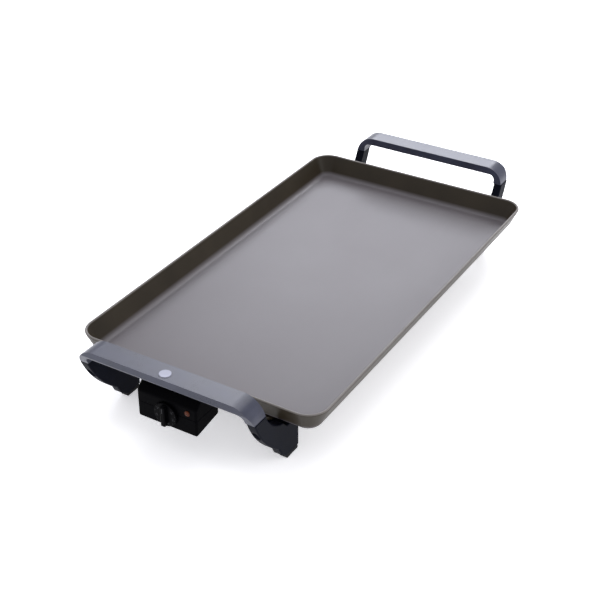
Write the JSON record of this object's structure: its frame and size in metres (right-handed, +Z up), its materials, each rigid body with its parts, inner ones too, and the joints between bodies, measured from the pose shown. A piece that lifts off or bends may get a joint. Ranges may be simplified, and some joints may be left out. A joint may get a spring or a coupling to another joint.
{
  "type": "electric griddle",
  "caption": "Rectangular electric griddle: shallow flared tray on raised end brackets with grip bars and legs, and a plug-in dial heat control under the front grip.",
  "frame": {"origin": "centre of the whole griddle's footprint, at the table surface under the feet", "axes": "+Y along the tray, away from the heat control; +X across the tray; +Z up"},
  "size_m": [0.3048, 0.633, 0.1017],
  "materials": {
    "tray_coating": "satin grey non-stick coating on the cooking floor, dark bronze-brown on the rim",
    "black_phenolic": "moulded heat-resistant plastic with a soft sheen",
    "black_rubber": "matte",
    "zinc_screws": "zinc plated",
    "satin_badge": "satin, plain",
    "element_sheath": "heat-darkened tube",
    "zinc_sheet": "zinc plated sheet",
    "white_ceramic": "unglazed steatite",
    "stainless_steel": "drawn",
    "brass_parts": "spring brass",
    "black_case": "fine moulded texture",
    "dial_black": "satin, with pale scale marks",
    "amber_lens": "translucent amber",
    "clear_glass": "clear bulb"
  },
  "bodies": {
    "griddle": {"cooking_tray": "tray_coating", "front_grip": "black_phenolic", "rear_grip": "black_phenolic", "front_left_leg": "black_phenolic", "front_right_leg": "black_phenolic", "rear_left_leg": "black_phenolic", "rear_right_leg": "black_phenolic", "front_left_foot": "black_rubber", "front_right_foot": "black_rubber", "rear_left_foot": "black_rubber", "rear_right_foot": "black_rubber", "front_left_grip_screw": "zinc_screws", "front_right_grip_screw": "zinc_screws", "rear_left_grip_screw": "zinc_screws", "rear_right_grip_screw": "zinc_screws", "front_left_leg_screw_1": "zinc_screws", "front_left_leg_screw_2": "zinc_screws", "front_right_leg_screw_1": "zinc_screws", "front_right_leg_screw_2": "zinc_screws", "rear_left_leg_screw_1": "zinc_screws", "rear_left_leg_screw_2": "zinc_screws", "rear_right_leg_screw_1": "zinc_screws", "rear_right_leg_screw_2": "zinc_screws", "grip_badge": "satin_badge", "heating_element": "element_sheath", "element_strap_1": "zinc_sheet", "element_strap_2": "zinc_sheet", "element_strap_3": "zinc_sheet", "element_strap_4": "zinc_sheet", "strap_screw_1": "zinc_screws", "strap_screw_2": "zinc_screws", "strap_screw_3": "zinc_screws", "strap_screw_4": "zinc_screws", "left_terminal_bead": "white_ceramic", "right_terminal_bead": "white_ceramic", "left_terminal_pin": "stainless_steel", "right_terminal_pin": "stainless_steel", "probe_well": "zinc_sheet", "terminal_guard": "zinc_sheet", "left_guard_screw": "zinc_screws", "right_guard_screw": "zinc_screws"},
    "heat_control": {"control_case_upper": "black_case", "control_case_lower": "black_case", "left_case_screw": "zinc_screws", "right_case_screw": "zinc_screws", "pilot_lens": "amber_lens", "pilot_bulb": "clear_glass", "thermostat_frame": "zinc_sheet", "ceramic_block": "white_ceramic", "bimetal_blade": "brass_parts", "contact_blade": "stainless_steel", "probe_rod": "stainless_steel", "left_contact_sleeve": "brass_parts", "right_contact_sleeve": "brass_parts", "cord_gland": "black_rubber"},
    "dial": {"temperature_dial": "dial_black", "dial_shaft": "stainless_steel"}
  },
  "joints": [
    {"name": "control_pull", "type": "slide", "parent": "griddle", "child": "heat_control", "axis": [0, -1, 0], "range_m": [0, 0.09]},
    {"name": "dial_turn", "type": "hinge", "parent": "heat_control", "child": "dial", "pos_m": [0, -0.3085, 0.053], "axis": [0, 1, 0], "range_deg": [0, 270]}
  ]
}
